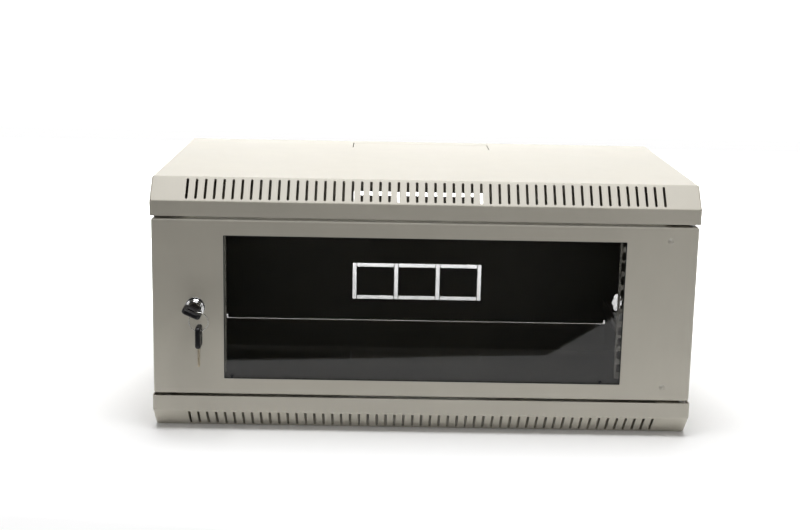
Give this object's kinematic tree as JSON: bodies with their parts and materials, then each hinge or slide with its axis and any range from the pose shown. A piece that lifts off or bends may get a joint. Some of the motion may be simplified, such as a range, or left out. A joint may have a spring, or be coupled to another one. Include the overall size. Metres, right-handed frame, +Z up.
{
  "type": "network server rack cabinet",
  "caption": "Shallow wall-mount rack cabinet with chamfered vented covers, a hinged glass door with a key lock, adjustable rails and rear cable knock-outs.",
  "frame": {"origin": "middle of the cabinet's footprint, on the underside of the bottom cover", "axes": "+X to the hinge side (right, seen from the front), +Y to the wall, +Z up; the door faces -Y"},
  "size_m": [0.6, 0.3887, 0.284],
  "materials": {
    "painted_steel": "fine powder coat, light grey",
    "zinc_steel": "zinc plated",
    "smoked_glass": "smoked, polished",
    "foam_tape": "matt black foam",
    "lock_chrome": "bright chrome",
    "key_brass": "worn brass",
    "black_plastic": "moulded, slightly glossy",
    "ring_steel": "nickel plated wire"
  },
  "bodies": {
    "cabinet": {"top_cover": "painted_steel", "bottom_cover": "painted_steel", "left_side_wall": "painted_steel", "right_side_wall": "painted_steel", "rear_panel": "painted_steel", "depth_runner_lower_left": "painted_steel", "depth_runner_upper_left": "painted_steel", "depth_runner_lower_right": "painted_steel", "depth_runner_upper_right": "painted_steel", "hinge_plate_lower": "painted_steel", "hinge_plate_upper": "painted_steel", "hinge_pin_lower": "zinc_steel", "hinge_pin_upper": "zinc_steel"},
    "rail_left": {"mounting_rail_left": "painted_steel", "rail_screws_left": "zinc_steel", "rail_nuts_left": "zinc_steel"},
    "rail_right": {"mounting_rail_right": "painted_steel", "rail_screws_right": "zinc_steel", "rail_nuts_right": "zinc_steel"},
    "door": {"door_panel": "painted_steel", "glass_tape": "foam_tape", "door_glass": "smoked_glass", "glass_studs": "zinc_steel", "glass_clips": "zinc_steel", "glass_nuts": "zinc_steel", "hinge_bracket_lower": "painted_steel", "hinge_bracket_upper": "painted_steel", "lock_housing": "lock_chrome", "lock_nut": "zinc_steel"},
    "lock_plug": {"lock_plug": "lock_chrome", "lock_cam": "zinc_steel", "cam_screw": "zinc_steel"},
    "key": {"key_blade": "key_brass", "key_bow": "black_plastic"},
    "key_ring": {"key_ring": "ring_steel"},
    "spare_key": {"spare_key_blade": "key_brass", "spare_key_bow": "black_plastic"}
  },
  "joints": [
    {"name": "door_hinge", "type": "hinge", "parent": "cabinet", "child": "door", "pos_m": [0.291, -0.167, 0.142], "axis": [0, 0, 1], "range_deg": [0, 180]},
    {"name": "lock_turn", "type": "hinge", "parent": "door", "child": "lock_plug", "pos_m": [-0.2515, -0.175, 0.1425], "axis": [0, 1, 0], "range_deg": [-24, 66]},
    {"name": "key_draw", "type": "slide", "parent": "lock_plug", "child": "key", "axis": [0, -1, 0], "range_m": [0, 0.02]},
    {"name": "ring_swing", "type": "hinge", "parent": "key", "child": "key_ring", "pos_m": [-0.24396, -0.2032, 0.13914], "axis": [0, 1, 0], "range_deg": [-66, 24]},
    {"name": "spare_key_swing", "type": "hinge", "parent": "key_ring", "child": "spare_key", "pos_m": [-0.24396, -0.2032, 0.12274], "axis": [1, 0, 0], "range_deg": [-60, 30]},
    {"name": "rail_left_depth", "type": "slide", "parent": "cabinet", "child": "rail_left", "axis": [0, 1, 0], "range_m": [-0.025, 0.18]},
    {"name": "rail_right_depth", "type": "slide", "parent": "cabinet", "child": "rail_right", "axis": [0, 1, 0], "range_m": [-0.025, 0.18]}
  ],
  "couplings": [
    {"joint": "ring_swing", "follows": "lock_turn", "ratio": -1}
  ]
}
